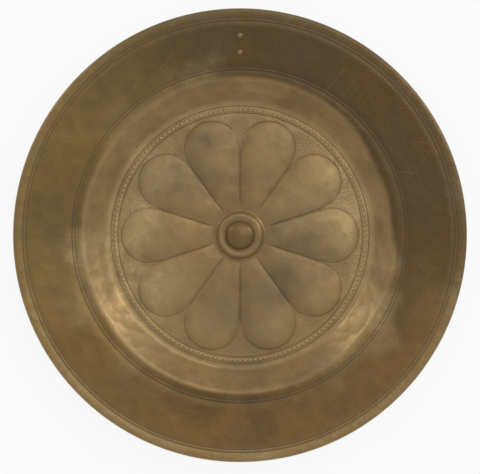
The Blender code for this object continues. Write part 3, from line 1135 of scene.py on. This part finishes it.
# %% Make the pearl border
PEARL_COUNT = 156
PEARL_BRASS = (0.41, 0.275, 0.118, 1.0)

pearl_brass = brass_material("old_pearl_brass", PEARL_BRASS, 0.6, FINE_HAMMER, seed=16.0)
pearls = grow(
    "pearl_border",
    pearl_tree,
    [Row(0.0, 0.0)],
    {
        "Count": PEARL_COUNT,
        "Ring Radius": (ROSETTE_RADIUS + FLOOR_RADIUS) / 2,
        "Pearl Radius": 0.0017,
        "Pearl Height": 0.0009,
        "Seat": SHEET,
        "Seed": 8,
        "Finish": pearl_brass,
    },
    NEVER_SHARP,
)
join_plate(pearls, "dish_brass")

# %% [markdown]
# ## The boss, its rove and the edge wire
#
# These are plain turned pieces. Their profiles run from the top down the outer side, so that the faces
# point out. The boss goes through the sheet, and its tail is peened over the rove, a washer behind the
# floor. The wire lies in the rolled edge, and shows only in the seam underneath. Half a ball would do for
# the boss's dome, but the profile also gives it its foot, its shank and its tail.

# %% Profiles of the boss, the rove and a wire
BOSS_SKIRT = 0.0011
TAIL_RADIUS = 0.0042
TAIL_HEIGHT = 0.0012
ROVE_BEVEL = 0.0002
FOOT_DIRT = 0.5
BOSS_STEPS = 28
HEAD_STEPS = 8


def dome(radius, height, base, steps):
    """(radius, height) points over a dome from its top to its foot."""
    quarter = arc((0.0, 0.0), radius, UP, 0.0, steps)
    return [(r, base + height * z / radius) for r, z in quarter]


def boss_rows():
    top = boss_middle.z + boss_half.z
    bottom = boss_middle.z - boss_half.z
    seat = SEAT_BACK + SHEET + CLEARANCE
    tail = bottom + TAIL_HEIGHT
    foot = seat + BOSS_SKIRT
    points = dome(BOSS_RADIUS, top - foot, foot, BOSS_STEPS)
    points += [(BOSS_RADIUS, seat), (SHANK_RADIUS, seat), (SHANK_RADIUS, tail)]
    points += dome(TAIL_RADIUS, -TAIL_HEIGHT, tail, HEAD_STEPS)[::-1]
    return [Row(r, z, dirt=FOOT_DIRT if z == seat else 0.0) for r, z in points]


def rove_rows():
    top = rove_middle.z + rove_half.z
    bottom = rove_middle.z - rove_half.z
    outer = rove_half.x
    bore = SHANK_RADIUS + CLEARANCE
    corners = [(outer - ROVE_BEVEL, top), (outer, top - ROVE_BEVEL)]
    corners += [(outer, bottom + ROVE_BEVEL), (outer - ROVE_BEVEL, bottom)]
    return [Row(r, z) for r, z in [(bore, top), *corners, (bore, bottom), (bore, top)]]


def wire_rows(turn_radius, wire_radius, height, steps):
    section = arc((turn_radius, height), wire_radius, UP, UP - 2 * math.pi, steps)
    return [Row(r, z) for r, z in section]


print("boss radius", round(BOSS_RADIUS, 4), "wire radius", round(WIRE_RADIUS, 4))

# %% Make the boss, the rove and the wire
SMALL_FACETS = 96
WIRE_STEPS = 14

rim_wire = wire_rows(WIRE_TURN_RADIUS, WIRE_RADIUS, WIRE_Z, WIRE_STEPS)
plain_pieces = (
    ("boss_dome", boss_rows(), SMALL_FACETS, boss_brass, "centre_boss", "boss_brass"),
    ("rove_washer", rove_rows(), SMALL_FACETS, rove_brass, "boss_rove", "rove_brass"),
    ("rim_wire", rim_wire, FACETS_PER_LOBE * LOBE_COUNT, wire_iron, "edge_wire", "wire_iron"),
)
for name, profile, facets, finish, node, slot in plain_pieces:
    join_plate(grow(name, turned_tree, profile, {"Facets": facets, "Finish": finish}), slot, node)

# %% [markdown]
# ## The hanging ring
#
# The ring is bent from wire and lies loose in a saddle behind the rim, so the plate can hang on a nail.
# It is turned about its own axis like the other pieces, then stood up and moved to its place. The move
# goes into the mesh, because a finished piece stays at the origin. A torus would give the same shape, but
# the tree is there already and sets the metal too.

# %% Make the ring
RING_STEPS = 20
ring_middle, ring_half = box_of("hanger_ring")
RING_WIRE_RADIUS = ring_half.y
RING_RADIUS = ring_half.x - RING_WIRE_RADIUS

ring_profile = wire_rows(RING_RADIUS, RING_WIRE_RADIUS, 0.0, RING_STEPS)
ring = grow("hang_ring", turned_tree, ring_profile, {"Facets": SMALL_FACETS, "Finish": ring_brass})
ring.data.transform(Matrix.Translation(ring_middle) @ Matrix.Rotation(UP, 4, "X"))
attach(ring, "ring")
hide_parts("hanger_ring")

# %% [markdown]
# ## The saddle
#
# A strip of brass is bent over the ring and riveted to the back of the rim. A box could be bent to that
# shape by hand. Here the strip follows a path of straight wings and arcs, and the arcs are worked out
# from the ring's wire, so that the ring keeps its play. It is drawn across its width in a few columns, so
# that its two ends can be rounded, and a Solidify and a Bevel modifier give it thickness and soft edges.

# %% The saddle's path
STRAP_THICKNESS = 0.0012
STRAP_BEND = 0.0005
WING_LENGTH = 0.0075
END_ROUND = 0.8
WING_STEPS = 8
BEND_STEPS = 8
BORE_STEPS = 20

STRAP_HALF_WIDTH = box_of("hanger_strap")[1].x
RING_SAG = RING_RADIUS - math.sqrt(RING_RADIUS**2 - STRAP_HALF_WIDTH**2)
STRAP_BORE = RING_WIRE_RADIUS + RING_SAG / 2 + CLEARANCE
STRAP_TURN = STRAP_BEND + STRAP_THICKNESS
PIVOT_DROP = CLEARANCE + STRAP_TURN + CLEARANCE
WING_START = STRAP_BORE + STRAP_TURN


def strap_path():
    """The saddle's side that faces the rim: wing, bend, bore, bend, wing."""
    bend = arc((-WING_START, -CLEARANCE - STRAP_TURN), STRAP_TURN, UP, 0.0, BEND_STEPS)
    straight = spread(-WING_START - WING_LENGTH, -WING_START, WING_STEPS)[:-1]
    wing = [(y, -CLEARANCE) for y in straight] + bend
    bore = arc((0.0, -PIVOT_DROP), STRAP_BORE, -math.pi, 0.0, BORE_STEPS)
    return wing + bore + [(-y, z) for y, z in reversed(wing)]


def strap_point(x, y, z):
    """A point of the strip, with the wings' ends rounded."""
    corner = STRAP_HALF_WIDTH - math.sqrt(max(STRAP_HALF_WIDTH**2 - x * x, 0.0))
    end = WING_START + WING_LENGTH - corner * END_ROUND
    return Vector((x, max(-end, min(end, y)), z))


print("the saddle's path has", len(strap_path()), "points")

# %% Make the saddle
STRAP_COLUMNS = 8
STRAP_BEVEL = 0.00022
BEVEL_ANGLE = math.radians(50)
HANGER_RADIUS = (SHOULDER_RADIUS + RIM_END_RADIUS) / 2

rim_tilt = Matrix.Rotation(RIM_SLOPE, 4, "X")
on_rim_back = Matrix.Translation((0.0, HANGER_RADIUS, rim_height(HANGER_RADIUS))) @ rim_tilt


def strip_mesh():
    """The strip as one open sheet, with its faces towards the rim's back."""
    bm = bmesh.new()
    columns = spread(-STRAP_HALF_WIDTH, STRAP_HALF_WIDTH, STRAP_COLUMNS)
    grid = [[bm.verts.new(strap_point(x, y, z)) for x in columns] for y, z in strap_path()]
    for near, far in zip(grid, grid[1:]):
        for i in range(STRAP_COLUMNS):
            bm.faces.new((far[i], far[i + 1], near[i + 1], near[i]))
    bmesh.ops.remove_doubles(bm, verts=bm.verts, dist=SEAM)
    bmesh.ops.dissolve_degenerate(bm, edges=bm.edges, dist=SEAM)
    mesh = bpy.data.meshes.new("hang_saddle")
    bm.to_mesh(mesh)
    bm.free()
    mesh.materials.append(strap_brass)
    return mesh


def make_saddle():
    made = add_object("hang_saddle", strip_mesh())
    solid = made.modifiers.new("thickness", "SOLIDIFY")
    solid.thickness = STRAP_THICKNESS
    solid.offset = 1.0
    soft = made.modifiers.new("soft_edges", "BEVEL")
    soft.width = STRAP_BEVEL
    soft.segments = 2
    soft.limit_method = "ANGLE"
    soft.angle_limit = BEVEL_ANGLE
    settle(made)
    made.data.transform(on_rim_back)
    return made


join_plate(make_saddle(), "strap_brass", "hanger_strap")

# %% [markdown]
# ## The rivets
#
# Two rivets go through the rim and the saddle's wings. They are one turned shape set on two points, so a
# tree turns the profile and puts an instance on each point of a line, tilted with the rim.

# %% The tree of the rivets
RIVET_INPUTS = {**GRID_INPUTS, "First": "Vector", "Step": "Vector", "Tilt": "Float"}


def make_rivet_tree():
    tree, given, leave = new_group("rivet_pair", "GeometryNodeTree", RIVET_INPUTS, GEOMETRY_OUT)
    rivet = turned_solid(tree, given)
    places = {"Count": 2, "Start Location": given["First"], "Offset": given["Step"]}
    line = field(tree, "GeometryNodeMeshLine", places)
    wanted = {"Points": line, "Instance": rivet, "Rotation": combine(tree, x=given["Tilt"])}
    pair = field(tree, "GeometryNodeInstanceOnPoints", wanted)
    plug(tree, leave.inputs["Geometry"], realize_and_paint(tree, pair, given["Finish"]))
    return tree


rivet_tree = make_rivet_tree()
print("tree", rivet_tree.name, "has", len(rivet_tree.nodes), "nodes")

# %% Make the rivets
RIVET_SHANK_RADIUS = 0.0012
RIVET_HEAD_RADIUS = 0.0024
RIVET_HEAD_HEIGHT = 0.0009
RIVET_FACETS = 32


def rivet_rows():
    front = SHEET + CLEARANCE
    back = -CLEARANCE - STRAP_THICKNESS - CLEARANCE
    points = dome(RIVET_HEAD_RADIUS, RIVET_HEAD_HEIGHT, front, HEAD_STEPS)
    points += [(RIVET_SHANK_RADIUS, front), (RIVET_SHANK_RADIUS, back)]
    points += dome(RIVET_HEAD_RADIUS, -RIVET_HEAD_HEIGHT, back, HEAD_STEPS)[::-1]
    return [Row(r, z, dirt=FOOT_DIRT if z in (front, back) else 0.0) for r, z in points]


along_rim = Vector((0.0, WING_START + WING_LENGTH / 2, 0.0))
first = on_rim_back @ -along_rim
step = on_rim_back @ along_rim - first
rivet_inputs = {"Facets": RIVET_FACETS, "Finish": rivet_brass, "Tilt": RIM_SLOPE}
rivet_inputs |= {"First": first, "Step": step}
rivets = grow("hang_rivets", rivet_tree, rivet_rows(), rivet_inputs)
join_plate(rivets, "rivet_brass", "hanger_rivet_inner", "hanger_rivet_outer")

# %% [markdown]
# ## The floor and the world
#
# The plate lies on a wide white floor. To the camera and in reflections the floor is mostly plain white,
# and the rest of it is lit and shaded, so that the plate keeps its shadow. From below the floor can be
# seen through, so that a view from there shows the back of the plate. An even grey world fills in the
# light from all sides.

# %% Floor
FLOOR_SIZE = 40.0
FLOOR_DROP = 0.0002
FLOOR_WHITE = 0.88
FLOOR_COLOUR = (0.95, 0.95, 0.95, 1.0)


def mix_shaders(tree, share, first, second):
    both = tree.nodes.new("ShaderNodeMixShader")
    for socket, value in zip(both.inputs, (share, first.outputs[0], second.outputs[0])):
        plug(tree, socket, value)
    return both


def white_floor():
    """White to the camera and in reflections, lit and shaded for the rest, and see-through from below."""
    material, tree, unused = new_material("white_floor")
    tree.nodes.remove(unused)
    rays = tree.nodes.new("ShaderNodeLightPath")
    seen = Field(tree, rays.outputs["Is Camera Ray"])
    for label in ("Is Glossy Ray", "Is Transmission Ray"):
        seen = seen.math("MAXIMUM", rays.outputs[label])
    lit = add_node(tree, "ShaderNodeBsdfDiffuse", {"Color": FLOOR_COLOUR})
    white = add_node(tree, "ShaderNodeEmission", {"Color": (1.0, 1.0, 1.0, 1.0), "Strength": 1.0})
    top = mix_shaders(tree, seen * FLOOR_WHITE, lit, white)
    below = tree.nodes.new("ShaderNodeNewGeometry").outputs["Backfacing"]
    one_sided = mix_shaders(tree, below, top, tree.nodes.new("ShaderNodeBsdfTransparent"))
    plug(tree, tree.nodes["Material Output"].inputs["Surface"], one_sided.outputs[0])
    return material


def make_floor():
    bm = bmesh.new()
    bmesh.ops.create_grid(bm, x_segments=1, y_segments=1, size=FLOOR_SIZE / 2)
    mesh = bpy.data.meshes.new("floor")
    bm.to_mesh(mesh)
    bm.free()
    mesh.materials.append(white_floor())
    floor = add_object("floor", mesh)
    floor.location.z = -FLOOR_DROP


make_floor()
print("floor", FLOOR_SIZE, "m across")

# %% World
WORLD_LIGHT = 0.63

world = bpy.data.worlds.new("even_light")
world.use_nodes = True
background = world.node_tree.nodes["Background"]
background.inputs["Color"].default_value = (1.0, 1.0, 1.0, 1.0)
background.inputs["Strength"].default_value = WORLD_LIGHT
scene.world = world
print("world light", WORLD_LIGHT)

# %% [markdown]
# ## The lamps
#
# One large soft lamp stands high at the upper right and models the lobes. Two low cards at the upper
# right and the upper left shine across the plate, and each lights a crescent on the far side of the wall.
# All are area lamps, because a point or a sun would draw hard spots on the metal.

# %% Lamps
LAMP_DISTANCE = 3.0
Lamp = namedtuple("Lamp", "name azimuth from_zenith size power")
LAMPS = (
    Lamp("overhead", 56.0, 34.0, 2.4, 17.0),
    Lamp("card_right", 31.0, 72.0, 1.0, 14.0),
    Lamp("card_left", 144.0, 72.0, 1.0, 7.8),
)


def make_lamp(name, azimuth, from_zenith, size, power):
    """A soft square lamp that looks at the plate. Its azimuth runs from +X towards +Y, in degrees."""
    lamp = bpy.data.lights.new(name, "AREA")
    lamp.size = size
    lamp.energy = power
    made = bpy.data.objects.new(name, lamp)
    scene.collection.objects.link(made)
    turn = math.radians(azimuth)
    tilt = math.radians(from_zenith)
    direction = Vector((math.sin(tilt) * math.cos(turn), math.sin(tilt) * math.sin(turn), math.cos(tilt)))
    made.location = direction * LAMP_DISTANCE
    made.rotation_euler = direction.to_track_quat("Z", "Y").to_euler()


for lamp in LAMPS:
    make_lamp(*lamp)
print("lamps:", [lamp.name for lamp in LAMPS])

# %% [markdown]
# ## The camera
#
# The photograph looks straight down on the plate. Its outline there gives the scale: so many pixels are
# the plate's radius. A long lens keeps the rim and the floor nearly in one scale.

# %% Camera
PHOTO_SIZE = (480, 474)
PLATE_CENTRE_PX = (240.0, 235.2)
PLATE_RADIUS_PX = 226.9
LENS = 0.100
SENSOR = 0.036

metres_per_pixel = PLATE_RADIUS / PLATE_RADIUS_PX
camera_data = bpy.data.cameras.new("from_above")
camera_data.lens = LENS * 1000
camera_data.sensor_width = SENSOR * 1000
camera_data.dof.use_dof = False
camera = bpy.data.objects.new("from_above", camera_data)
scene.collection.objects.link(camera)
camera.location = (
    (PHOTO_SIZE[0] / 2 - PLATE_CENTRE_PX[0]) * metres_per_pixel,
    (PLATE_CENTRE_PX[1] - PHOTO_SIZE[1] / 2) * metres_per_pixel,
    WIRE_Z + LENS / SENSOR * PHOTO_SIZE[0] * metres_per_pixel,
)
scene.camera = camera
scene.view_settings.view_transform = "Standard"
print("camera", round(camera.location.z, 3), "m above the floor")
